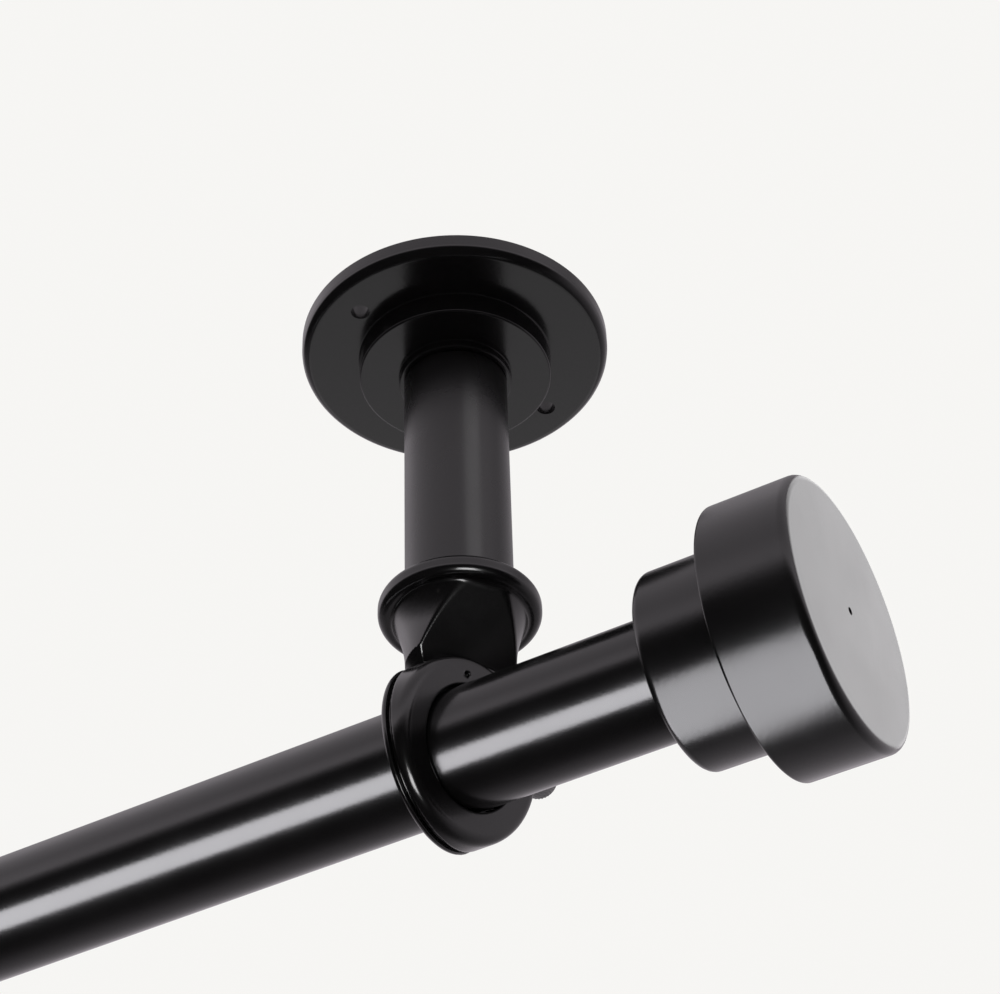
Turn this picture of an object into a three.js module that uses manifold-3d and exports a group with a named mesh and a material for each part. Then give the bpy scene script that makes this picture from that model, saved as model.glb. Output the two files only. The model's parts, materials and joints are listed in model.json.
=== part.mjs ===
import * as THREE from 'three';
import { mergeVertices } from 'three/addons/utils/BufferGeometryUtils.js';
import Module from 'manifold-3d';

// A ceiling-mounted telescoping curtain rod: two ceiling brackets, an outer
// and an inner tube, and a stepped drum finial at each end. Millimetres, +Z up.
// The origin is the centre of the near flange's ceiling face. +X runs along
// the rod towards the near finial, and -Y is the room side.

// Tubes
const ROD_OD = 25.4;
const ROD_WALL = 1.0;
const SLIDE_GAP = 0.6;
const CLOSED_LENGTH = 711.2;
const TUBE_SHORTFALL = 75.2;
const FIT = 0.3;

// Ceiling bracket
const DROP = 114;
const FLANGE_R = 34.8;
const FLANGE_T = 5.0;
const FLANGE_EDGE = 2.2;
const BOSS_R = 21.7;
const BOSS_H = 5.5;
const HUB_LIP = 1.1;
const HUB_H = 2.0;
const SCREW_HOLE_R = 2.1;
const SCREW_HOLE_AT = 26.5;
const SCREW_HOLE_TURN = THREE.MathUtils.degToRad(68);
const POST_R = 11.6;
const STUD_R = 4;
const STUD_IN_FLANGE = 9;
const STUD_IN_POST = 10;
const STUD_IN_HOLDER = 11.4;

// Ring holder
const RING_WALL = 6.5;
const RING_CLEARANCE = 0.4;
const RING_FAR = -7.6;
const RING_NEAR = 8.2;
const RING_FACE_AT = 2.6;
const RING_FACE_NORMAL = new THREE.Vector3(1, -0.2, -0.2).normalize();
const NECK_LENGTH = 13.7;
const NECK_WAIST_R = 11.6;
const NECK_TOP_R = 14.5;
const NECK_FOOT_R = 6.5;
const COLLAR_R = 17.3;
const COLLAR_H = 4.8;
const FLARE_H = 2.5;
const NECK_CUT_AT = 3.6;
const NECK_CUT_NORMAL = new THREE.Vector3(0.62, -0.46, -0.63).normalize();
const MARK_R = 0.75;
const MARK_DEPTH = 0.8;
const MARK_IN = 2.15;
const MARK_TURN = THREE.MathUtils.degToRad(109.6);

// Set screw
const SCREW_TURN = THREE.MathUtils.degToRad(21);
const SET_R = 2.0;
const SET_HEAD_STANDOFF = 9;
const SET_HEAD_R = 4.3;
const SET_HEAD_H = 7.0;

// Finial, measured along the rod from its back face
const FINIAL_AT = 49;
const STEP_R = 20.6;
const STEP_LENGTH = 17.5;
const SOCKET_DEPTH = 8;
const DISC_T = 3.7;
const DRUM_R = 28.2;
const DRUM_LENGTH = 19.1;
const DRUM_WALL = 2.1;
const DRUM_END = 2.5;
const PIN_R = 2.5;
const PIN_HEAD_R = 5;
const PIN_HEAD_H = 3;
const PLUG_IN = 14;

// Facets round a full turn
const ROUND = 36;
const SMALL_ROUND = 18;

const wasm = await Module();
wasm.setup();

// Derived positions
const TUBE_LENGTH = CLOSED_LENGTH - TUBE_SHORTFALL;
const HUB_R = POST_R + HUB_LIP;
const ROD_R = ROD_OD / 2;
const ROD_BORE_R = ROD_R - ROD_WALL;
const INNER_R = ROD_BORE_R - SLIDE_GAP;
const INNER_BORE_R = INNER_R - ROD_WALL;
const SOCKET_R = ROD_R + RING_CLEARANCE;
const RING_BORE_R = ROD_R + RING_CLEARANCE;
const RING_R = RING_BORE_R + RING_WALL;
const COLLAR_LOW = RING_R + NECK_LENGTH;
const HOLDER_TOP = COLLAR_LOW + COLLAR_H + FLARE_H;
const SET_SHANK = RING_R + SET_HEAD_STANDOFF - ROD_R - FIT;
const TUBE_IN_SOCKET = SOCKET_DEPTH - FIT;
const NEAR_END = FINIAL_AT + TUBE_IN_SOCKET;
const FAR_FINIAL_AT = FINIAL_AT - CLOSED_LENGTH;
const FAR_END = FAR_FINIAL_AT - TUBE_IN_SOCKET;
const FAR_BRACKET = FAR_FINIAL_AT + FINIAL_AT;
const HUB_Z = -(FLANGE_T + BOSS_H + HUB_H);
const POST_TOP = HUB_Z - FIT;
const HOLDER_Z = HOLDER_TOP - DROP;
const POST_LOW = HOLDER_Z + FIT;
const TAPPED_R = STUD_R + FIT;

const BLACK = { color: 0x2a282a, roughness: 0.22, metalness: 0.85 };
const STEEL = { color: 0x8a8c8f, roughness: 0.4, metalness: 0.9 };
const NYLON = { color: 0x1b1b1c, roughness: 0.6, metalness: 0.0 };

const group = new THREE.Group();

// A turned solid about local Y. The profile is [radius, height] pairs that run
// up the outside and come back down the inside or the axis.
function turned(profile, segments) {
  const points = profile.map(([radius, height]) => new THREE.Vector2(radius, height));
  return new THREE.LatheGeometry(points, segments);
}

// The same, standing on the Z axis
function turnedZ(profile, segments = ROUND) {
  return turned(profile, segments).rotateX(Math.PI / 2);
}

// The same, lying along the X axis
function turnedX(profile, segments = ROUND) {
  return turned(profile, segments).rotateZ(-Math.PI / 2);
}

// A plain hollow or solid bar profile
function tubeProfile(inner, outer, low, high) {
  return [[inner, low], [outer, low], [outer, high], [inner, high], [inner, low]];
}

function barProfile(radius, low, high) {
  return [[0, low], [radius, low], [radius, high], [0, high]];
}

// A closed solid for cutting and joining
function solid(geometry) {
  const bare = geometry.clone();
  bare.deleteAttribute('normal');
  bare.deleteAttribute('uv');
  const merged = mergeVertices(bare, 1e-4);
  const corners = merged.index.array;
  const kept = [];
  for (let i = 0; i < corners.length; i += 3) {
    const [a, b, c] = [corners[i], corners[i + 1], corners[i + 2]];
    if (a !== b && b !== c && c !== a) kept.push(a, b, c);
  }
  return new wasm.Manifold(new wasm.Mesh({
    numProp: 3,
    vertProperties: new Float32Array(merged.attributes.position.array),
    triVerts: new Uint32Array(kept),
  }));
}

// The mesh geometry of a cut or joined solid
function geometryOf(manifold) {
  const mesh = manifold.getMesh();
  const geometry = new THREE.BufferGeometry();
  geometry.setAttribute('position', new THREE.BufferAttribute(mesh.vertProperties, 3));
  geometry.setIndex(new THREE.BufferAttribute(mesh.triVerts, 1));
  geometry.computeVertexNormals();
  return geometry;
}

function place(name, geometry, look, x = 0, y = 0, z = 0) {
  const mesh = new THREE.Mesh(geometry, new THREE.MeshStandardMaterial(look));
  mesh.name = name;
  mesh.position.set(x, y, z);
  group.add(mesh);
  return mesh;
}

// Ceiling flange: a thick disc with a rolled edge, a stepped boss and a hub,
// a blind tapped hole from below and two fixing holes either side of the boss
function flangeGeometry() {
  const low = -FLANGE_T;
  const profile = [
    [0, HUB_Z + STUD_IN_FLANGE],
    [TAPPED_R, HUB_Z + STUD_IN_FLANGE],
    [TAPPED_R, HUB_Z],
    [HUB_R, HUB_Z],
    [HUB_R, HUB_Z + HUB_H],
    [BOSS_R - 0.6, HUB_Z + HUB_H],
    [BOSS_R, HUB_Z + HUB_H + 0.6],
    [BOSS_R, low],
    [FLANGE_R - FLANGE_EDGE, low],
  ];
  for (const turn of [30, 60, 90]) {
    const angle = THREE.MathUtils.degToRad(turn);
    const radius = FLANGE_R - FLANGE_EDGE + FLANGE_EDGE * Math.sin(angle);
    profile.push([radius, low + FLANGE_EDGE - FLANGE_EDGE * Math.cos(angle)]);
  }
  profile.push([FLANGE_R, 0]);
  profile.push([0, 0]);
  let body = solid(turnedZ(profile));
  for (const side of [0, Math.PI]) {
    const hole = turnedZ(barProfile(SCREW_HOLE_R, low - 1, 1), SMALL_ROUND);
    const angle = SCREW_HOLE_TURN + side;
    hole.translate(SCREW_HOLE_AT * Math.cos(angle), SCREW_HOLE_AT * Math.sin(angle), 0);
    body = body.subtract(solid(hole));
  }
  return geometryOf(body);
}

// Post: a round bar with a blind tapped hole in each end
function postGeometry() {
  return turnedZ([
    [0, POST_LOW + STUD_IN_POST],
    [TAPPED_R, POST_LOW + STUD_IN_POST],
    [TAPPED_R, POST_LOW],
    [POST_R, POST_LOW],
    [POST_R, POST_TOP],
    [TAPPED_R, POST_TOP],
    [TAPPED_R, POST_TOP - STUD_IN_POST],
    [0, POST_TOP - STUD_IN_POST],
  ]);
}

// Threaded stud between two tapped parts, with bevelled ends
function studGeometry(low, high) {
  const bevel = 0.8;
  return turnedZ([
    [0, low],
    [STUD_R - bevel, low],
    [STUD_R, low + bevel],
    [STUD_R, high - bevel],
    [STUD_R - bevel, high],
    [0, high],
  ], SMALL_ROUND);
}

// Everything on the outer side of a plane through (x, 0, z), as a block to cut with
function beyondPlane(normal, x, z) {
  const block = new THREE.BoxGeometry(90, 90, 60);
  block.translate(0, 0, 30);
  const up = new THREE.Vector3(0, 0, 1);
  block.applyQuaternion(new THREE.Quaternion().setFromUnitVectors(up, normal));
  block.translate(x, 0, z);
  return solid(block);
}

// Ring holder, one casting: a flared collar, a waisted neck mitred away on
// its room side, and the closed ring that the rod passes through, whose near
// face leans towards the room
function holderGeometry() {
  const neckFoot = RING_BORE_R + 0.23 * RING_WALL;
  const neckWaist = RING_R + 1.8;
  const neckProfile = [[0, neckFoot], [NECK_FOOT_R, neckFoot]];
  for (const t of [0, 0.2, 0.4, 0.6, 0.8, 1]) {
    const radius = NECK_WAIST_R + (NECK_TOP_R - NECK_WAIST_R) * t * t;
    neckProfile.push([radius, neckWaist + (COLLAR_LOW + FIT - neckWaist) * t]);
  }
  neckProfile.push([0, COLLAR_LOW + FIT]);
  const neck = solid(turnedZ(neckProfile));
  const pastMitre = beyondPlane(NECK_CUT_NORMAL, NECK_CUT_AT, RING_R + 0.4);
  const collar = solid(turnedZ([
    [0, COLLAR_LOW],
    [COLLAR_R - 1.2, COLLAR_LOW],
    [COLLAR_R - 0.35, COLLAR_LOW + 0.6],
    [COLLAR_R, COLLAR_LOW + 1.6],
    [COLLAR_R, COLLAR_LOW + COLLAR_H - 1.7],
    [COLLAR_R - 0.5, COLLAR_LOW + COLLAR_H - 0.6],
    [COLLAR_R - 1.6, COLLAR_LOW + COLLAR_H],
    [POST_R + 0.44 * (COLLAR_R - POST_R), HOLDER_TOP - 0.84 * FLARE_H],
    [POST_R + 0.21 * (COLLAR_R - POST_R), HOLDER_TOP - 0.52 * FLARE_H],
    [POST_R + 0.07 * (COLLAR_R - POST_R), HOLDER_TOP - 0.16 * FLARE_H],
    [POST_R, HOLDER_TOP],
    [TAPPED_R, HOLDER_TOP],
    [TAPPED_R, HOLDER_TOP - 3],
    [0, HOLDER_TOP - 3],
  ]));
  const ring = solid(turnedX([
    [RING_BORE_R + 0.6, RING_FAR],
    [RING_R - 1.3, RING_FAR],
    [RING_R - 0.3, RING_FAR + 0.5],
    [RING_R - 0.3, RING_FAR + 1.2],
    [RING_R - 1.5, RING_FAR + 1.5],
    [RING_R - 1.5, RING_FAR + 2.4],
    [RING_R, RING_FAR + 2.8],
    [RING_R, RING_NEAR - 0.9],
    [RING_R - 0.25, RING_NEAR - 0.25],
    [RING_R - 0.9, RING_NEAR],
    [RING_BORE_R, RING_NEAR],
    [RING_BORE_R, RING_FAR + 0.6],
    [RING_BORE_R + 0.6, RING_FAR],
  ]));
  const bore = solid(turnedX(barProfile(RING_BORE_R, RING_FAR - 6, RING_NEAR + 12)));
  const tapping = turnedZ(barProfile(TAPPED_R, HOLDER_TOP - STUD_IN_HOLDER, HOLDER_TOP + 1));
  const screwWay = turned(barProfile(SET_R + FIT, RING_BORE_R - 3, RING_R + 3), SMALL_ROUND);
  screwWay.rotateX(SCREW_TURN);
  const markAt = RING_BORE_R + MARK_IN;
  const markY = markAt * Math.cos(MARK_TURN);
  const markZ = markAt * Math.sin(MARK_TURN);
  const lean = (RING_FACE_NORMAL.y * markY + RING_FACE_NORMAL.z * markZ) / RING_FACE_NORMAL.x;
  const mark = turnedX(barProfile(MARK_R, RING_FACE_AT - lean - MARK_DEPTH, RING_NEAR + 1), 12);
  mark.translate(0, markY, markZ);
  const leaning = ring.subtract(beyondPlane(RING_FACE_NORMAL, RING_FACE_AT, 0));
  const body = neck.subtract(pastMitre).add(collar).add(leaning)
    .subtract(bore)
    .subtract(solid(tapping))
    .subtract(solid(screwWay))
    .subtract(solid(mark));
  return geometryOf(body);
}

// Thumb-headed set screw, standing on the rod from its flat tip outwards
function setScrewGeometry(tip) {
  const head = tip + SET_SHANK;
  const screw = turned([
    [0, tip],
    [SET_R - 0.5, tip],
    [SET_R, tip + 0.5],
    [SET_R, head],
    [SET_HEAD_R - 0.7, head],
    [SET_HEAD_R, head + 0.7],
    [SET_HEAD_R, head + SET_HEAD_H - 0.9],
    [SET_HEAD_R - 0.9, head + SET_HEAD_H],
    [0, head + SET_HEAD_H],
  ], SMALL_ROUND);
  return screw.rotateX(SCREW_TURN);
}

// Nylon liner that fills the far ring round the thinner tube, cut off flush
// with the ring's leaning face
function linerGeometry() {
  const sleeve = solid(turnedX(tubeProfile(INNER_R + FIT, RING_BORE_R - FIT, RING_FAR, RING_NEAR)));
  const way = turned(barProfile(SET_R + FIT, INNER_R - 3, RING_R), SMALL_ROUND);
  way.rotateX(SCREW_TURN);
  const flush = beyondPlane(RING_FACE_NORMAL, RING_FACE_AT, 0);
  return geometryOf(sleeve.subtract(solid(way)).subtract(flush));
}

function bracket(side, x, tip) {
  const flangeTop = HUB_Z + STUD_IN_FLANGE - FIT;
  const postFloor = POST_TOP - STUD_IN_POST + FIT;
  const postRoof = POST_LOW + STUD_IN_POST - FIT;
  const holderFloor = HOLDER_Z - STUD_IN_HOLDER + FIT;
  place(`${side}_flange`, flangeGeometry(), BLACK, x);
  place(`${side}_upper_stud`, studGeometry(postFloor, flangeTop), STEEL, x);
  place(`${side}_post`, postGeometry(), BLACK, x);
  place(`${side}_lower_stud`, studGeometry(holderFloor, postRoof), STEEL, x);
  place(`${side}_holder`, holderGeometry(), BLACK, x, 0, -DROP);
  place(`${side}_set_screw`, setScrewGeometry(tip), BLACK, x, 0, -DROP);
}

// Finial collar: the small step with the tube's socket in its back, and the
// disc that closes the drum
function finialCollarGeometry() {
  const disc = DRUM_R - DRUM_WALL - FIT;
  const front = STEP_LENGTH + DISC_T;
  return turnedX([
    [PIN_R + FIT, SOCKET_DEPTH],
    [SOCKET_R, SOCKET_DEPTH],
    [SOCKET_R, 0],
    [STEP_R - 1.6, 0],
    [STEP_R - 0.5, 0.5],
    [STEP_R, 1.6],
    [STEP_R, STEP_LENGTH],
    [disc, STEP_LENGTH],
    [disc, front],
    [PIN_R + FIT, front],
    [PIN_R + FIT, SOCKET_DEPTH],
  ]);
}

// Finial drum: a deep cup with its closed end outwards
function finialDrumGeometry() {
  const end = STEP_LENGTH + DRUM_LENGTH;
  return turnedX([
    [0, end - DRUM_END],
    [DRUM_R - DRUM_WALL, end - DRUM_END],
    [DRUM_R - DRUM_WALL, STEP_LENGTH],
    [DRUM_R - 0.6, STEP_LENGTH],
    [DRUM_R, STEP_LENGTH + 0.6],
    [DRUM_R, end - 1.8],
    [DRUM_R - 0.55, end - 0.55],
    [DRUM_R - 1.8, end],
    [MARK_R, end],
    [MARK_R, end - MARK_DEPTH],
    [0, end - MARK_DEPTH],
  ]);
}

// Screw that holds the plug to the collar, its head inside the drum
function finialScrewGeometry() {
  const head = STEP_LENGTH + DISC_T + FIT;
  return turnedX([
    [0, -PLUG_IN + 4.3],
    [PIN_R, -PLUG_IN + 4.3],
    [PIN_R, head],
    [PIN_HEAD_R, head],
    [PIN_HEAD_R, head + PIN_HEAD_H - 0.6],
    [PIN_HEAD_R - 0.6, head + PIN_HEAD_H],
    [0, head + PIN_HEAD_H],
  ], SMALL_ROUND);
}

// Plug that pushes into a tube's end
function finialPlugGeometry(radius) {
  return turnedX([
    [0, -PLUG_IN],
    [radius - 0.8, -PLUG_IN],
    [radius, -PLUG_IN + 0.8],
    [radius, TUBE_IN_SOCKET],
    [PIN_R + FIT, TUBE_IN_SOCKET],
    [PIN_R + FIT, -PLUG_IN + 4],
    [0, -PLUG_IN + 4],
  ]);
}

function finial(side, x, turn, plugRadius) {
  const pieces = [
    place(`${side}_finial_drum`, finialDrumGeometry(), BLACK, x, 0, -DROP),
    place(`${side}_finial_collar`, finialCollarGeometry(), BLACK, x, 0, -DROP),
    place(`${side}_finial_screw`, finialScrewGeometry(), STEEL, x, 0, -DROP),
    place(`${side}_finial_plug`, finialPlugGeometry(plugRadius), NYLON, x, 0, -DROP),
  ];
  for (const piece of pieces) piece.rotation.z = turn;
}

// Near and far brackets
bracket('near', 0, ROD_R + FIT);
bracket('far', FAR_BRACKET, INNER_R + FIT);
place('far_ring_liner', linerGeometry(), NYLON, FAR_BRACKET, 0, -DROP);

// Tubes, and the guide that centres the inner one
const outerTube = tubeProfile(ROD_BORE_R, ROD_R, NEAR_END - TUBE_LENGTH, NEAR_END);
place('outer_tube', turnedX(outerTube), BLACK, 0, 0, -DROP);
const innerTube = tubeProfile(INNER_BORE_R, INNER_R, FAR_END, FAR_END + TUBE_LENGTH);
place('inner_tube', turnedX(innerTube), BLACK, 0, 0, -DROP);
const tail = FAR_END + TUBE_LENGTH;
place('inner_guide', turnedX([
  [7, tail - 12],
  [INNER_BORE_R - FIT, tail - 12],
  [INNER_BORE_R - FIT, tail + FIT],
  [ROD_BORE_R - FIT, tail + FIT],
  [ROD_BORE_R - FIT, tail + 3 + FIT],
  [7, tail + 3 + FIT],
  [7, tail - 12],
]), NYLON, 0, 0, -DROP);

// Finials, and the sleeve that fills the far socket round the thinner tube
finial('near', FINIAL_AT, 0, ROD_BORE_R - FIT);
finial('far', FAR_FINIAL_AT, Math.PI, INNER_BORE_R - FIT);
const sleeve = tubeProfile(INNER_R + FIT, SOCKET_R - FIT, FIT, TUBE_IN_SOCKET);
const farSleeve = place('far_end_sleeve', turnedX(sleeve), NYLON, FAR_FINIAL_AT, 0, -DROP);
farSleeve.rotation.z = Math.PI;

export default group;
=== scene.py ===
import json
import math

import bpy
import numpy as np
from mathutils import Matrix, Vector

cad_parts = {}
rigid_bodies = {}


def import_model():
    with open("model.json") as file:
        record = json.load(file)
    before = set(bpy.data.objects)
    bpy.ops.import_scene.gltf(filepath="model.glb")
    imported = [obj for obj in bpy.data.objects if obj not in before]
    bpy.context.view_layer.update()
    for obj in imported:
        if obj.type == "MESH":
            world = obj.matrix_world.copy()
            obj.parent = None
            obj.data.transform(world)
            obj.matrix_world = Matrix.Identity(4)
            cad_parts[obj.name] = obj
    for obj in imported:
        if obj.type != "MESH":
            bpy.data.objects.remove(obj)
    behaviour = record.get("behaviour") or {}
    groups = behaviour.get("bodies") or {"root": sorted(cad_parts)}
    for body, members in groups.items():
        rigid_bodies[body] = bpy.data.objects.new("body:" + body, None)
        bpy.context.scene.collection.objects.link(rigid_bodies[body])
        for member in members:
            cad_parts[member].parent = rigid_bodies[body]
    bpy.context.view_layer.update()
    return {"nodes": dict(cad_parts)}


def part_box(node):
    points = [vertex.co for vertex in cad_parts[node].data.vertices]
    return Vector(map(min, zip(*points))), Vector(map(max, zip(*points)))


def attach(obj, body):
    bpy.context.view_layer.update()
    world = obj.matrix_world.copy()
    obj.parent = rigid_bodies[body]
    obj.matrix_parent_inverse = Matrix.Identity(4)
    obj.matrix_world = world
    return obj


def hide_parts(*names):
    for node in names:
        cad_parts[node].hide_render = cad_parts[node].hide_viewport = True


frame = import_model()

MM = 0.001

# Ceiling flange. A pressed and turned steel disc with a rolled edge, a raised
# boss and a thin hub ring round the post, lacquered gloss black. Two screws
# through the plain holes either side of the boss fix it to the ceiling.
FLANGE_RADIUS = 34.8
FLANGE_THICK = 5.0
ROLLED_EDGE = 2.2
BOSS_RADIUS = 21.7
BOSS_DEEP = 10.5
HUB_RADIUS = 12.7
HUB_DEEP = 12.5
STUD_HOLE_RADIUS = 4.3
STUD_HOLE_DEEP = 3.5
SCREW_HOLE_RADIUS = 2.1
SCREW_HOLE_OUT = 26.5
SCREW_HOLE_ANGLE = math.radians(68)
TURNING_STEPS = 160
SHARP_CORNER = math.radians(32)


def eased(outline, steps=6):
    """The outline's corners as arcs. Each corner is (radius, along, ease)."""
    points = []
    count = len(outline)
    closed = outline[0][:2] == outline[-1][:2]
    for i, (radius, along, ease) in enumerate(outline):
        here = Vector((radius, along))
        if ease <= 0 or (not closed and i in (0, count - 1)):
            points.append(here)
            continue
        before = Vector(outline[i - 1 if i else count - 2][:2])
        after = Vector(outline[i + 1 if i < count - 1 else 1][:2])
        into = (before - here).normalized()
        out = (after - here).normalized()
        half = into.angle(out) / 2
        reach = ease / math.tan(half)
        centre = here + (into + out).normalized() * (ease / math.sin(half))
        start = here + into * reach - centre
        sweep = start.angle_signed(here + out * reach - centre)
        for step in range(steps + 1):
            turn = -sweep * step / steps
            cos, sin = math.cos(turn), math.sin(turn)
            points.append(centre + Vector((start.x * cos - start.y * sin,
                                           start.x * sin + start.y * cos)))
    return points


def lathe_turned(name, outline, lie="Z", steps=TURNING_STEPS, ripple=None):
    """A turned piece lying along Z or X. ripple gives a radius that changes as it turns."""
    points = eased(outline)
    closed = (points[0] - points[-1]).length < 1e-6
    if closed:
        points.pop()
    verts, rows = [], []
    for point in points:
        if point.x < 1e-6:
            rows.append([len(verts)])
            verts.append((0.0, 0.0, point.y * MM))
            continue
        row = []
        for step in range(steps):
            angle = math.tau * step / steps
            radius = ripple(angle, point.x, point.y) if ripple else point.x
            row.append(len(verts))
            verts.append((radius * math.cos(angle) * MM, radius * math.sin(angle) * MM,
                          point.y * MM))
        rows.append(row)
    faces = []
    for low, high in zip(rows, rows[1:] + rows[:1] if closed else rows[1:]):
        for step in range(steps):
            after = (step + 1) % steps
            if len(low) == 1 and len(high) == 1:
                break
            if len(low) == 1:
                faces.append((low[0], high[after], high[step]))
            elif len(high) == 1:
                faces.append((low[step], low[after], high[0]))
            else:
                faces.append((low[step], low[after], high[after], high[step]))
    mesh = bpy.data.meshes.new(name)
    mesh.from_pydata(verts, [], faces)
    if lie == "X":
        mesh.transform(Matrix.Rotation(math.radians(90), 4, "Y"))
    mesh.validate()
    mesh.shade_smooth()
    mesh.set_sharp_from_angle(angle=SHARP_CORNER)
    piece = bpy.data.objects.new(name, mesh)
    bpy.context.scene.collection.objects.link(piece)
    return piece


def even_shading(piece):
    """Flat faces keep flat shading right up to their eased corners."""
    weigh = piece.modifiers.new("even shading", "WEIGHTED_NORMAL")
    weigh.mode = "FACE_AREA_WITH_ANGLE"
    weigh.weight = 90
    weigh.keep_sharp = True


def link(tree, source, target):
    tree.links.new(source, target)


def gloss_black(name, shade=(0.0027, 0.0025, 0.0028), rough=(0.2, 0.3), peel=0.012, wear=0.0):
    """Black lacquer over metal: faint orange peel, uneven gloss and settled dust."""
    paint = bpy.data.materials.new(name)
    paint.use_nodes = True
    tree = paint.node_tree
    shader = tree.nodes["Principled BSDF"]
    place = tree.nodes.new("ShaderNodeTexCoord")
    cloud = tree.nodes.new("ShaderNodeTexNoise")
    cloud.inputs["Scale"].default_value = 55
    cloud.inputs["Detail"].default_value = 4
    link(tree, place.outputs["Object"], cloud.inputs["Vector"])
    gloss = tree.nodes.new("ShaderNodeMapRange")
    gloss.inputs["From Min"].default_value = 0.3
    gloss.inputs["From Max"].default_value = 0.7
    gloss.inputs["To Min"].default_value = rough[0]
    gloss.inputs["To Max"].default_value = rough[1]
    link(tree, cloud.outputs["Fac"], gloss.inputs["Value"])
    link(tree, gloss.outputs["Result"], shader.inputs["Roughness"])
    tone = tree.nodes.new("ShaderNodeTexNoise")
    tone.inputs["Scale"].default_value = 240
    tone.inputs["Detail"].default_value = 6
    link(tree, place.outputs["Object"], tone.inputs["Vector"])
    colour = tree.nodes.new("ShaderNodeMix")
    colour.data_type = "RGBA"
    colour.inputs["A"].default_value = (*[c * 0.75 for c in shade], 1)
    colour.inputs["B"].default_value = (*[c * 1.35 for c in shade], 1)
    link(tree, tone.outputs["Fac"], colour.inputs["Factor"])
    last = colour.outputs["Result"]
    if wear:
        edge = tree.nodes.new("ShaderNodeNewGeometry")
        rub = tree.nodes.new("ShaderNodeMapRange")
        rub.inputs["From Min"].default_value = 0.56
        rub.inputs["From Max"].default_value = 0.68
        rub.inputs["To Max"].default_value = wear
        link(tree, edge.outputs["Pointiness"], rub.inputs["Value"])
        bare = tree.nodes.new("ShaderNodeMix")
        bare.data_type = "RGBA"
        bare.inputs["B"].default_value = (0.05, 0.048, 0.046, 1)
        link(tree, rub.outputs["Result"], bare.inputs["Factor"])
        link(tree, last, bare.inputs["A"])
        last = bare.outputs["Result"]
    link(tree, last, shader.inputs["Base Color"])
    skin = tree.nodes.new("ShaderNodeTexNoise")
    skin.inputs["Scale"].default_value = 900
    skin.inputs["Detail"].default_value = 2
    link(tree, place.outputs["Object"], skin.inputs["Vector"])
    bump = tree.nodes.new("ShaderNodeBump")
    bump.inputs["Strength"].default_value = peel
    bump.inputs["Distance"].default_value = 0.001
    link(tree, skin.outputs["Fac"], bump.inputs["Height"])
    link(tree, bump.outputs["Normal"], shader.inputs["Normal"])
    shader.inputs["IOR"].default_value = 1.48
    return paint


def settle(piece, paint, body, slot, *nodes):
    """Puts the finish on, ties the piece to its moving body and hides the nodes it stands for."""
    piece.data.materials.append(paint)
    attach(piece, body)
    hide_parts(*nodes)
    return piece


def middle(node):
    low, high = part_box(node)
    return (low + high) / 2


def cut_away(piece, cutter):
    """Cuts one piece by another, which is then thrown away."""
    tool = piece.modifiers.new("cut", "BOOLEAN")
    tool.operation = "DIFFERENCE"
    tool.solver = "EXACT"
    tool.object = cutter
    bpy.context.view_layer.update()
    built = piece.evaluated_get(bpy.context.evaluated_depsgraph_get())
    cut = bpy.data.meshes.new_from_object(built)
    piece.modifiers.remove(tool)
    piece.data = cut
    cut.shade_smooth()
    cut.set_sharp_from_angle(angle=SHARP_CORNER)
    bpy.data.objects.remove(cutter)


flange_outline = [
    (0, -STUD_HOLE_DEEP, 0), (STUD_HOLE_RADIUS, -STUD_HOLE_DEEP, 0),
    (STUD_HOLE_RADIUS, -HUB_DEEP, 0), (HUB_RADIUS, -HUB_DEEP, 0.35),
    (HUB_RADIUS, -BOSS_DEEP, 0.2), (BOSS_RADIUS, -BOSS_DEEP, 0.5),
    (BOSS_RADIUS, -FLANGE_THICK, 0.35), (FLANGE_RADIUS, -FLANGE_THICK, ROLLED_EDGE),
    (FLANGE_RADIUS, 0, 0.3), (0, 0, 0),
]
flange_black = gloss_black("flange gloss black", rough=(0.14, 0.2))
for side in ("near", "far"):
    flange = lathe_turned(f"{side}_ceiling_flange", flange_outline)
    for turn in (SCREW_HOLE_ANGLE, SCREW_HOLE_ANGLE + math.pi):
        drill = lathe_turned("drill", [
            (0, -9, 0), (SCREW_HOLE_RADIUS, -9, 0), (SCREW_HOLE_RADIUS, 3, 0), (0, 3, 0)], steps=48)
        out = SCREW_HOLE_OUT * MM
        drill.location = (out * math.cos(turn), out * math.sin(turn), 0)
        cut_away(flange, drill)
    even_shading(flange)
    flange.location.x = middle(f"{side}_flange").x
    settle(flange, flange_black, f"{side}_bracket", "black_metal", f"{side}_flange")

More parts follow.
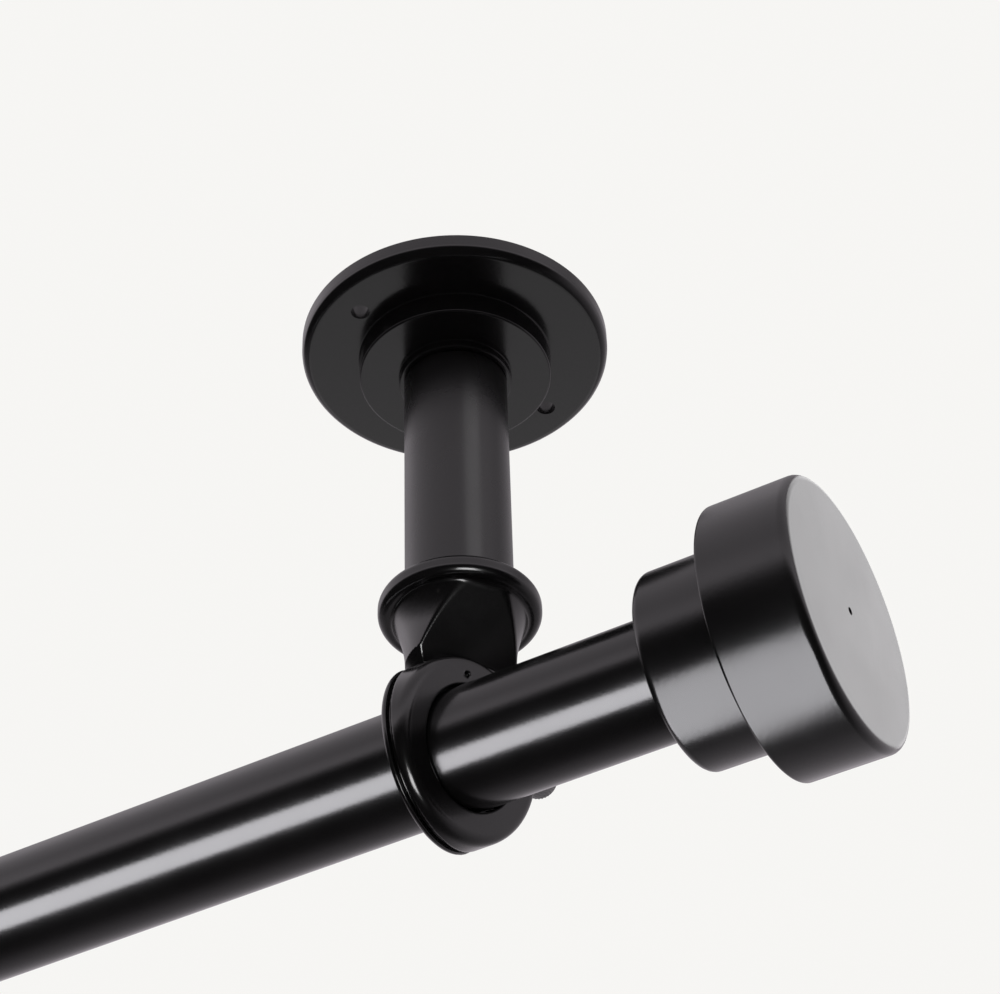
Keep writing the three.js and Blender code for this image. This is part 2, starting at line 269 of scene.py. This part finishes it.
# Studs and finial screws. Zinc-plated steel threaded rod and pan-head screws
# that hold the pieces together from inside. The threads are cut plain in the
# frame's own solids, which stay.
def zinc_steel(name):
    """Zinc plate: a cool bright grey with a little bloom."""
    plate = bpy.data.materials.new(name)
    plate.use_nodes = True
    tree = plate.node_tree
    shader = tree.nodes["Principled BSDF"]
    place = tree.nodes.new("ShaderNodeTexCoord")
    bloom = tree.nodes.new("ShaderNodeTexNoise")
    bloom.inputs["Scale"].default_value = 300
    bloom.inputs["Detail"].default_value = 5
    link(tree, place.outputs["Object"], bloom.inputs["Vector"])
    colour = tree.nodes.new("ShaderNodeMix")
    colour.data_type = "RGBA"
    colour.inputs["A"].default_value = (0.42, 0.43, 0.45, 1)
    colour.inputs["B"].default_value = (0.62, 0.63, 0.64, 1)
    link(tree, bloom.outputs["Fac"], colour.inputs["Factor"])
    link(tree, colour.outputs["Result"], shader.inputs["Base Color"])
    gloss = tree.nodes.new("ShaderNodeMapRange")
    gloss.inputs["To Min"].default_value = 0.25
    gloss.inputs["To Max"].default_value = 0.5
    link(tree, bloom.outputs["Fac"], gloss.inputs["Value"])
    link(tree, gloss.outputs["Result"], shader.inputs["Roughness"])
    shader.inputs["Metallic"].default_value = 1.0
    return plate


zinc = zinc_steel("zinc plated steel")
for node in ("near_upper_stud", "near_lower_stud", "far_upper_stud", "far_lower_stud",
             "near_finial_screw", "far_finial_screw"):
    for material_slot in frame["nodes"][node].material_slots:
        material_slot.material = zinc

# Post. Round steel bar, faced at both ends and tapped for the studs, lacquered
# to match the flange.
POST_RADIUS = 11.6
TAPPED_DEEP = 10
post_black = gloss_black("post gloss black", rough=(0.24, 0.32))
for side in ("near", "far"):
    low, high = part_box(f"{side}_post")
    foot, top = low.z / MM, high.z / MM
    post = lathe_turned(f"{side}_round_post", [
        (0, foot + TAPPED_DEEP, 0), (STUD_HOLE_RADIUS, foot + TAPPED_DEEP, 0),
        (STUD_HOLE_RADIUS, foot, 0.3), (POST_RADIUS, foot, 0.15),
        (POST_RADIUS, top, 0.25), (STUD_HOLE_RADIUS, top, 0.3),
        (STUD_HOLE_RADIUS, top - TAPPED_DEEP, 0), (0, top - TAPPED_DEEP, 0)])
    even_shading(post)
    post.location.x = (low.x + high.x) / 2
    settle(post, post_black, f"{side}_bracket", "black_metal", f"{side}_post")

# Ring holder. One zinc casting: a flared collar under the post, a waisted neck
# mitred away on its room side, and the closed ring, with a groove round it and
# a near face that leans to the room. Lacquer softens every edge.
RING_BORE = 13.1
RING_OUTSIDE = 19.6
RING_FROM, RING_TO = -7.6, 8.2
RING_FACE_AT = 2.6
RING_FACING = Vector((1, -0.2, -0.2)).normalized()
GROOVE_FROM, GROOVE_TO = -6.15, -5.1
GROOVE_DEEP = 1.4
RING_EASE, FACE_EASE = 1.3, 2.2
COLLAR_RADIUS = 17.3
COLLAR_FOOT = 33.3
COLLAR_HIGH = 4.8
COLLAR_EASE = 1.9
FLARE_EASE = 3.2
HOLDER_TOP = 40.6
TAPPED_IN_HOLDER = 11.4
NECK_WAIST, NECK_TOP, NECK_FOOT = 11.6, 14.5, 6.5
WAIST_AT, FOOT_AT = 21.4, 14.6
MITRE_POINT = (3.6, 0.0, RING_OUTSIDE + 0.4)
MITRE_FACING = Vector((0.62, -0.46, -0.63)).normalized()
SCREW_ANGLE = math.radians(21)
SCREW_HOLE = 2.3
MARK_OUT, MARK_ANGLE = 15.25, math.radians(109.6)
MARK_RADIUS, MARK_DEEP = 0.75, 0.8
GRAIN = 0.42


def blend_join(a, b, ease):
    """Two forms joined, with their meeting line filled and rounded."""
    share = np.clip(0.5 + 0.5 * (b - a) / ease, 0, 1)
    return b + (a - b) * share - ease * share * (1 - share)


def blend_cut(a, b, ease):
    """Form a with form b taken away, and the edge rounded."""
    return -blend_join(-a, b, ease)


def eased_box(u, v, low_u, high_u, low_v, high_v, ease):
    du = np.abs(u - (low_u + high_u) / 2) - (high_u - low_u) / 2 + ease
    dv = np.abs(v - (low_v + high_v) / 2) - (high_v - low_v) / 2 + ease
    outside = np.hypot(np.maximum(du, 0), np.maximum(dv, 0))
    return outside + np.minimum(np.maximum(du, dv), 0) - ease


def holder_form(x, y, z):
    """How far a point is outside the casting, in millimetres."""
    out = np.hypot(x, y)
    rise = np.clip((z - WAIST_AT) / (COLLAR_FOOT + 0.3 - WAIST_AT), 0, 1)
    fall = np.clip((WAIST_AT - z) / (WAIST_AT - FOOT_AT), 0, 1)
    width = NECK_WAIST + (NECK_TOP - NECK_WAIST) * rise ** 2 - (NECK_WAIST - NECK_FOOT) * fall
    neck = np.maximum((out - width) * 0.9, np.maximum(FOOT_AT - z, z - COLLAR_FOOT - 1.5))
    mitre = ((x - MITRE_POINT[0]) * MITRE_FACING[0] + (y - MITRE_POINT[1]) * MITRE_FACING[1]
             + (z - MITRE_POINT[2]) * MITRE_FACING[2])
    neck = blend_cut(neck, -mitre, 0.45)
    collar = eased_box(out, z, -COLLAR_RADIUS, COLLAR_RADIUS,
                       COLLAR_FOOT, COLLAR_FOOT + COLLAR_HIGH, COLLAR_EASE)
    stem = np.maximum(out - POST_RADIUS, np.maximum(COLLAR_FOOT + 1 - z, z - HOLDER_TOP))
    collar = np.maximum(blend_join(collar, stem, FLARE_EASE), z - HOLDER_TOP)
    around = np.hypot(y, z)
    ring = eased_box(around, x, RING_BORE - 3, RING_OUTSIDE, RING_FROM, RING_TO, RING_EASE)
    groove = eased_box(around, x, RING_OUTSIDE - GROOVE_DEEP, RING_OUTSIDE + 9,
                       GROOVE_FROM, GROOVE_TO, 0.2)
    ring = blend_cut(ring, groove, 0.5)
    beyond = (x - RING_FACE_AT) * RING_FACING[0] + y * RING_FACING[1] + z * RING_FACING[2]
    ring = blend_cut(ring, -beyond, FACE_EASE)
    body = blend_join(neck, collar, 0.5)
    body = blend_join(body, ring, 1.2)
    body = blend_cut(body, around - RING_BORE, 0.7)
    body = blend_cut(body, np.maximum(out - STUD_HOLE_RADIUS, HOLDER_TOP - TAPPED_IN_HOLDER - z), 0.3)
    along = y * math.cos(SCREW_ANGLE) + z * math.sin(SCREW_ANGLE)
    aside = np.hypot(x, -y * math.sin(SCREW_ANGLE) + z * math.cos(SCREW_ANGLE))
    body = blend_cut(body, np.maximum(aside - SCREW_HOLE, 8 - along), 0.4)
    mark_y, mark_z = MARK_OUT * math.cos(MARK_ANGLE), MARK_OUT * math.sin(MARK_ANGLE)
    mark = np.maximum(np.hypot(y - mark_y, z - mark_z) - MARK_RADIUS, -MARK_DEEP - beyond)
    return blend_cut(body, mark, 0.3)


def facing(form, points, step=0.02):
    """The outward direction and the distance at each point."""
    x, y, z = points.T
    slope = np.stack([
        form(x + step, y, z) - form(x - step, y, z),
        form(x, y + step, z) - form(x, y - step, z),
        form(x, y, z + step) - form(x, y, z - step)], 1) / (2 * step)
    size = np.maximum(np.linalg.norm(slope, axis=1), 1e-6)
    return slope / size[:, None], form(x, y, z) / size


def cast_from(name, form, low, high, grain):
    """A cast piece: a fine skin laid where the form's distance is nothing."""
    axes = [np.arange(a - 2 * grain, b + 3 * grain, grain) for a, b in zip(low, high)]
    grid = np.meshgrid(*axes, indexing="ij")
    inside = form(*grid) < 0
    nx, ny, nz = inside.shape
    cells = np.zeros((nx - 1, ny - 1, nz - 1), np.int16)
    for i in (0, 1):
        for j in (0, 1):
            for k in (0, 1):
                cells += inside[i:nx - 1 + i, j:ny - 1 + j, k:nz - 1 + k]
    skin = (cells > 0) & (cells < 8)
    number = -np.ones(skin.shape, np.int64)
    number[skin] = np.arange(skin.sum())
    where = np.argwhere(skin)
    points = np.stack([axes[a][where[:, a]] + grain / 2 for a in range(3)], 1)
    for _ in range(6):
        normal, gap = facing(form, points)
        points -= normal * np.clip(gap, -grain, grain)[:, None]
    faces = []
    for a in range(3):
        b, c = (a + 1) % 3, (a + 2) % 3
        before = np.take(inside, range(inside.shape[a] - 1), a)
        after = np.take(inside, range(1, inside.shape[a]), a)
        for rising in (True, False):
            crossing = np.argwhere((before & ~after) if rising else (~before & after))
            crossing = crossing[(crossing[:, b] > 0) & (crossing[:, c] > 0)]
            corners = []
            for db, dc in ((1, 1), (0, 1), (0, 0), (1, 0)):
                cell = crossing.copy()
                cell[:, b] -= db
                cell[:, c] -= dc
                corners.append(number[tuple(cell.T)])
            quads = np.stack(corners if rising else corners[::-1], 1)
            faces.append(quads[(quads >= 0).all(1)])
    faces = np.concatenate(faces)
    mesh = bpy.data.meshes.new(name)
    mesh.from_pydata((points * MM).tolist(), [], faces.tolist())
    mesh.validate()
    mesh.shade_smooth()
    normal, _ = facing(form, points)
    mesh.normals_split_custom_set_from_vertices(normal.tolist())
    return mesh


holder_black = gloss_black("holder gloss black", rough=(0.16, 0.24), wear=0.2)
casting = cast_from("ring holder casting", holder_form,
                    (-COLLAR_RADIUS, -RING_OUTSIDE, -RING_OUTSIDE),
                    (COLLAR_RADIUS, RING_OUTSIDE, HOLDER_TOP), GRAIN)
rod_height = middle("outer_tube").z
for side in ("near", "far"):
    holder = bpy.data.objects.new(f"{side}_ring_holder", casting.copy())
    bpy.context.scene.collection.objects.link(holder)
    holder.location = (middle(f"{side}_flange").x, 0, rod_height)
    settle(holder, holder_black, f"{side}_bracket", "black_metal", f"{side}_holder")

# Set screw. A steel thumb screw through the back of the ring: a threaded shank
# with a flat tip that bears on the tube, and a knurled head.
LARGE_TUBE_RADIUS = 12.7
SMALL_TUBE_RADIUS = 11.1
SHANK_RADIUS = 2.0
HEAD_RADIUS = 4.3
SHANK_LONG = 15.6
HEAD_LONG = 7.0
THREAD_PITCH = 0.7
THREAD_DEEP = 0.32
THREAD_STEPS = 110
KNURLS = 36
KNURL_DEEP = 0.22


def thread_and_knurl(tip):
    """The radius as it turns: a thread on the shank and a knurl on the head."""
    head = tip + SHANK_LONG

    def ripple(angle, radius, along):
        if along < head - 0.2 and radius > SHANK_RADIUS - 0.3:
            turn = (along / THREAD_PITCH - angle / math.tau) % 1
            return radius - THREAD_DEEP * abs(2 * turn - 1)
        if head + 0.8 < along < head + HEAD_LONG - 0.9 and radius > HEAD_RADIUS - 0.2:
            return radius - KNURL_DEEP * abs(2 * ((angle * KNURLS / math.tau) % 1) - 1)
        return radius
    return ripple


screw_black = gloss_black("screw gloss black", rough=(0.25, 0.35))
for side, radius in (("near", LARGE_TUBE_RADIUS), ("far", SMALL_TUBE_RADIUS)):
    tip = radius + 0.3
    head = tip + SHANK_LONG
    outline = [(0, tip, 0), (SHANK_RADIUS - 0.5, tip, 0), (SHANK_RADIUS, tip + 0.5, 0)]
    for step in range(1, THREAD_STEPS):
        outline.append((SHANK_RADIUS, tip + 0.5 + (SHANK_LONG - 0.9) * step / THREAD_STEPS, 0))
    end = head + HEAD_LONG
    outline += [
        (SHANK_RADIUS, head, 0), (HEAD_RADIUS - 0.5, head, 0), (HEAD_RADIUS - 0.1, head + 0.3, 0),
        (HEAD_RADIUS, head + 0.85, 0), (HEAD_RADIUS, end - 0.95, 0),
        (HEAD_RADIUS - 0.3, end - 0.4, 0), (HEAD_RADIUS - 1.0, end, 0),
        (HEAD_RADIUS - 1.8, end, 0.2), (HEAD_RADIUS - 2.2, end - 0.4, 0.2), (0, end - 0.4, 0)]
    screw = lathe_turned(f"{side}_thumb_screw", outline, steps=KNURLS * 4,
                         ripple=thread_and_knurl(tip))
    screw.data.transform(Matrix.Rotation(SCREW_ANGLE - math.pi / 2, 4, "X"))
    screw.location = (middle(f"{side}_flange").x, 0, rod_height)
    settle(screw, screw_black, f"{side}_screw", "black_metal", f"{side}_set_screw")

# Tubes. Seam-welded steel tube, drawn, polished and lacquered: the outer one
# is 25.4 mm, and the inner one slides in it on a nylon guide.
WALL = 1.0
TUBE_STEPS = 24
tube_black = gloss_black("tube gloss black", rough=(0.17, 0.22))
for name, node, body, radius in (
        ("large_tube", "outer_tube", "outer_rod", LARGE_TUBE_RADIUS),
        ("small_tube", "inner_tube", "inner_rod", SMALL_TUBE_RADIUS)):
    low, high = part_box(node)
    start, end = low.x / MM, high.x / MM
    step = (end - start) / TUBE_STEPS
    outline = [(radius - WALL, start, 0.3), (radius, start, 0.35)]
    outline += [(radius, start + step * i, 0) for i in range(1, TUBE_STEPS)]
    outline += [(radius, end, 0.35), (radius - WALL, end, 0.3)]
    outline += [(radius - WALL, end - step * i, 0) for i in range(1, TUBE_STEPS)]
    outline.append(outline[0])
    tube = lathe_turned(name, outline, lie="X")
    even_shading(tube)
    tube.location.z = rod_height
    settle(tube, tube_black, body, "black_metal", node)

# Finials. Each is two turned steel pieces: a collar whose back is bored for
# the tube, and a deep drum closed by the collar's disc. Both are lacquered
# satin black.
STEP_RADIUS = 20.6
STEP_LONG = 17.5
DRUM_RADIUS = 28.2
DRUM_END = 36.6
SOCKET_DEEP = 8.0
SOCKET_RADIUS = 13.1
DRUM_WALL = 2.1
DRUM_FACE = 2.5
CENTRE_MARK = 0.75
DISC_RADIUS = 25.8
DISC_FRONT = 21.2
PIN_HOLE = 2.8
collar_outline = [
    (PIN_HOLE, SOCKET_DEEP, 0), (SOCKET_RADIUS, SOCKET_DEEP, 0.2), (SOCKET_RADIUS, 0, 0.5),
    (STEP_RADIUS, 0, 1.7), (STEP_RADIUS, STEP_LONG, 0.25), (DISC_RADIUS, STEP_LONG, 0.3),
    (DISC_RADIUS, DISC_FRONT, 0.3), (PIN_HOLE, DISC_FRONT, 0), (PIN_HOLE, SOCKET_DEEP, 0)]
drum_outline = [
    (0, DRUM_END - DRUM_FACE, 0), (DRUM_RADIUS - DRUM_WALL, DRUM_END - DRUM_FACE, 0.8),
    (DRUM_RADIUS - DRUM_WALL, STEP_LONG, 0.25), (DRUM_RADIUS, STEP_LONG, 0.7),
    (DRUM_RADIUS, DRUM_END, 1.9), (CENTRE_MARK, DRUM_END, 0.15),
    (CENTRE_MARK, DRUM_END - MARK_DEEP, 0), (0, DRUM_END - MARK_DEEP, 0)]
finial_black = gloss_black("finial satin black", rough=(0.2, 0.26))
finial_back = {"near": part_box("near_finial_collar")[0].x, "far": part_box("far_finial_collar")[1].x}
for side, turned_round in (("near", 0), ("far", math.pi)):
    for name, outline, node in (("finial_collar_step", collar_outline, "finial_collar"),
                                ("finial_drum_shell", drum_outline, "finial_drum")):
        piece = lathe_turned(f"{side}_{name}", outline, lie="X")
        even_shading(piece)
        piece.data.transform(Matrix.Rotation(turned_round, 4, "Z"))
        piece.location = (finial_back[side], 0, rod_height)
        settle(piece, finial_black, f"{side}_finial", "black_metal", f"{side}_{node}")

# Nylon pieces. Black nylon mouldings inside the rod: the ribbed plugs that the
# finials push in with, the sleeve and liner round the thinner tube, and the
# guide on its tail.
def moulded_nylon(name):
    """Black nylon: matt with a fine moulded grain."""
    nylon = bpy.data.materials.new(name)
    nylon.use_nodes = True
    tree = nylon.node_tree
    shader = tree.nodes["Principled BSDF"]
    place = tree.nodes.new("ShaderNodeTexCoord")
    grain = tree.nodes.new("ShaderNodeTexNoise")
    grain.inputs["Scale"].default_value = 1400
    grain.inputs["Detail"].default_value = 3
    link(tree, place.outputs["Object"], grain.inputs["Vector"])
    colour = tree.nodes.new("ShaderNodeMix")
    colour.data_type = "RGBA"
    colour.inputs["A"].default_value = (0.012, 0.012, 0.012, 1)
    colour.inputs["B"].default_value = (0.03, 0.03, 0.031, 1)
    link(tree, grain.outputs["Fac"], colour.inputs["Factor"])
    link(tree, colour.outputs["Result"], shader.inputs["Base Color"])
    bump = tree.nodes.new("ShaderNodeBump")
    bump.inputs["Strength"].default_value = 0.15
    bump.inputs["Distance"].default_value = 0.0005
    link(tree, grain.outputs["Fac"], bump.inputs["Height"])
    link(tree, bump.outputs["Normal"], shader.inputs["Normal"])
    shader.inputs["Roughness"].default_value = 0.55
    return nylon


PLUG_IN = 14.0
PLUG_PLAY = 0.3
RIBS, RIB_PITCH, RIB_HIGH = 6, 2.6, 0.9
nylon = moulded_nylon("moulded black nylon")
for side, turned_round, tube_radius in (
        ("near", 0, LARGE_TUBE_RADIUS), ("far", math.pi, SMALL_TUBE_RADIUS)):
    outside = tube_radius - WALL - PLUG_PLAY
    core = outside - RIB_HIGH
    outline = [(0, -PLUG_IN, 0), (outside - 1.6, -PLUG_IN, 0), (core, 1.4 - PLUG_IN, 0.3)]
    for rib in range(RIBS):
        at = 2 - PLUG_IN + rib * RIB_PITCH
        outline += [(core, at, 0.1), (outside, at + 0.9, 0.15), (core, at + 1.3, 0.1)]
    outline += [(core, 4.6, 0.1), (outside, 5.0, 0.2), (outside, 7.7, 0.3),
                (PIN_HOLE, 7.7, 0), (PIN_HOLE, 4 - PLUG_IN, 0), (0, 4 - PLUG_IN, 0)]
    plug = lathe_turned(f"{side}_ribbed_plug", outline, lie="X", steps=96)
    plug.data.transform(Matrix.Rotation(turned_round, 4, "Z"))
    plug.location = (finial_back[side], 0, rod_height)
    settle(plug, nylon, f"{side}_finial", "nylon", f"{side}_finial_plug")
for node in ("far_ring_liner", "far_end_sleeve", "inner_guide"):
    for material_slot in frame["nodes"][node].material_slots:
        material_slot.material = nylon

# Camera. A long lens below and to the room side of the near bracket, looking up
# along the rod. The near ring lies a little left of the view's middle and below it.
LOOK_TURN = math.radians(28.9)
LOOK_UP = math.radians(41.0)
LOOK_ROLL = math.radians(-1.9)
LENS = 97.2
RING_AWAY = 0.5436
RING_LEFT = 0.00751
RING_BELOW = 0.05126
ahead = Vector((-math.sin(LOOK_TURN) * math.cos(LOOK_UP),
                math.cos(LOOK_TURN) * math.cos(LOOK_UP), math.sin(LOOK_UP)))
level = Vector((math.cos(LOOK_TURN), math.sin(LOOK_TURN), 0))
upright = level.cross(ahead)
side_way = math.cos(LOOK_ROLL) * level + math.sin(LOOK_ROLL) * upright
up_way = side_way.cross(ahead)
stand = Vector((0, 0, rod_height)) - ahead * RING_AWAY + side_way * RING_LEFT + up_way * RING_BELOW
eye = bpy.data.objects.new("camera", bpy.data.cameras.new("camera"))
bpy.context.scene.collection.objects.link(eye)
eye.matrix_world = Matrix.Translation(stand) @ Matrix((
    (side_way.x, up_way.x, -ahead.x, 0),
    (side_way.y, up_way.y, -ahead.y, 0),
    (side_way.z, up_way.z, -ahead.z, 0),
    (0, 0, 0, 1)))
eye.data.sensor_width = 36
eye.data.lens = LENS
eye.data.clip_start = 0.01
eye.data.clip_end = 100
bpy.context.scene.camera = eye
bpy.context.scene.view_settings.view_transform = "Standard"

# Studio. A plain pale floor a room's height below the ceiling flanges, in a
# white room. What the lacquer mirrors is graded: bright above, black at the
# front horizon, and dim behind. Soft lamps stand below and beside the rod.
FLOOR_Z = -2.5
FLOOR_REACH = 30
floor_mesh = bpy.data.meshes.new("studio floor")
floor_mesh.from_pydata([(x * FLOOR_REACH, y * FLOOR_REACH, FLOOR_Z)
                        for x, y in ((-1, -1), (1, -1), (1, 1), (-1, 1))], [], [(0, 1, 2, 3)])
floor = bpy.data.objects.new("studio_floor", floor_mesh)
bpy.context.scene.collection.objects.link(floor)
floor_paint = bpy.data.materials.new("pale floor")
floor_paint.use_nodes = True
shader = floor_paint.node_tree.nodes["Principled BSDF"]
shader.inputs["Base Color"].default_value = (0.82, 0.81, 0.8, 1)
shader.inputs["Roughness"].default_value = 0.9
floor_mesh.materials.append(floor_paint)
floor.visible_glossy = False

room = bpy.data.worlds.new("studio room")
bpy.context.scene.world = room
room.use_nodes = True
tree = room.node_tree
backdrop = tree.nodes["Background"]
backdrop.inputs["Color"].default_value = (0.925, 0.918, 0.9, 1)
where = tree.nodes.new("ShaderNodeTexCoord")
split = tree.nodes.new("ShaderNodeSeparateXYZ")
link(tree, where.outputs["Generated"], split.inputs["Vector"])


def graded(stops):
    """Faintly rosy light by height. Each stop is (direction's height, light)."""
    lift = tree.nodes.new("ShaderNodeMapRange")
    lift.inputs["From Min"].default_value = -1
    link(tree, split.outputs["Z"], lift.inputs["Value"])
    grade = tree.nodes.new("ShaderNodeValToRGB")
    for i, (height, light) in enumerate(stops):
        last = i == len(stops) - 1
        if i == 0 or last:
            stop = grade.color_ramp.elements[-1 if last else 0]
        else:
            stop = grade.color_ramp.elements.new((height + 1) / 2)
        stop.position = (height + 1) / 2
        stop.color = (light, light * 0.93, light * 0.99, 1)
    link(tree, lift.outputs["Result"], grade.inputs["Fac"])
    return grade.outputs["Color"]


front = graded([(-1, 0.04), (0.1, 0.02), (0.22, 0.4), (0.34, 1.5), (0.62, 0.86), (1, 0.8)])
behind = graded([(-1, 0.05), (-0.8, 0.12), (-0.6, 0.35), (-0.1, 0.6), (0.3, 0.8), (0.64, 0.45),
                 (1, 0.4)])
turn_back = tree.nodes.new("ShaderNodeMapRange")
turn_back.inputs["From Min"].default_value = 0.05
turn_back.inputs["From Max"].default_value = 0.45
link(tree, split.outputs["Y"], turn_back.inputs["Value"])
surroundings = tree.nodes.new("ShaderNodeMix")
surroundings.data_type = "RGBA"
link(tree, turn_back.outputs["Result"], surroundings.inputs["Factor"])
link(tree, front, surroundings.inputs["A"])
link(tree, behind, surroundings.inputs["B"])
mirrored = tree.nodes.new("ShaderNodeBackground")
link(tree, surroundings.outputs["Result"], mirrored.inputs["Color"])
rays = tree.nodes.new("ShaderNodeLightPath")
choose = tree.nodes.new("ShaderNodeMixShader")
link(tree, rays.outputs["Is Glossy Ray"], choose.inputs["Fac"])
link(tree, backdrop.outputs["Background"], choose.inputs[1])
link(tree, mirrored.outputs["Background"], choose.inputs[2])
link(tree, choose.outputs["Shader"], tree.nodes["World Output"].inputs["Surface"])


def soft_panel(name, at, toward, wide, high, watts, lit, colour=(1, 1, 1), roll=0):
    """A soft lamp, size in metres, that lights the pieces with these words in their names."""
    lamp = bpy.data.lights.new(name, "AREA")
    lamp.shape = "RECTANGLE"
    lamp.size, lamp.size_y = wide, high
    lamp.energy = watts
    lamp.color = colour
    panel = bpy.data.objects.new(name, lamp)
    bpy.context.scene.collection.objects.link(panel)
    panel.location = at
    facing = (Vector(toward) - Vector(at)).to_track_quat("-Z", "Y").to_matrix().to_4x4()
    panel.rotation_euler = (facing @ Matrix.Rotation(math.radians(roll), 4, "Z")).to_euler()
    panel.visible_camera = False
    panel.visible_diffuse = False
    chosen = bpy.data.collections.new(f"lit by {name}")
    for piece in bpy.context.scene.objects:
        if any(word in piece.name for word in lit):
            chosen.objects.link(piece)
    panel.light_linking.receiver_collection = chosen


def below_front(angle, away, slide):
    """A place that many degrees round from the room side of the rod, going down."""
    turn = math.radians(angle)
    return (slide, -away * math.cos(turn), rod_height - away * math.sin(turn))


cool_white = (0.97, 0.96, 1.0)
soft_panel("front_strip", below_front(48, 2.6, -0.9), (0, 0, rod_height), 5.0, 1.4, 295,
           ("large_tube", "small_tube"), cool_white, roll=-33)
soft_panel("under_panel", below_front(77, 1.1, -0.4), (0.05, 0, rod_height), 1.6, 0.85, 40,
           ("finial_",), cool_white)
soft_panel("end_panel", (0.6, 1.0, 0.85), (0.08, 0, rod_height), 1.3, 1.0, 6.0, ("finial_",))
soft_panel("flange_panel", (-0.75, 1.3, -1.4), (0, 0, -0.02), 1.8, 1.8, 5, ("ceiling_flange",))
soft_panel("post_panel", (1.1, -0.55, 1.0), (0, 0, -0.05), 0.7, 0.9, 1.5, ("round_post",))
soft_panel("edge_lamp", (0.48, -0.52, -0.8), (0, 0, rod_height), 0.35, 0.35, 6, ("ring_holder",))
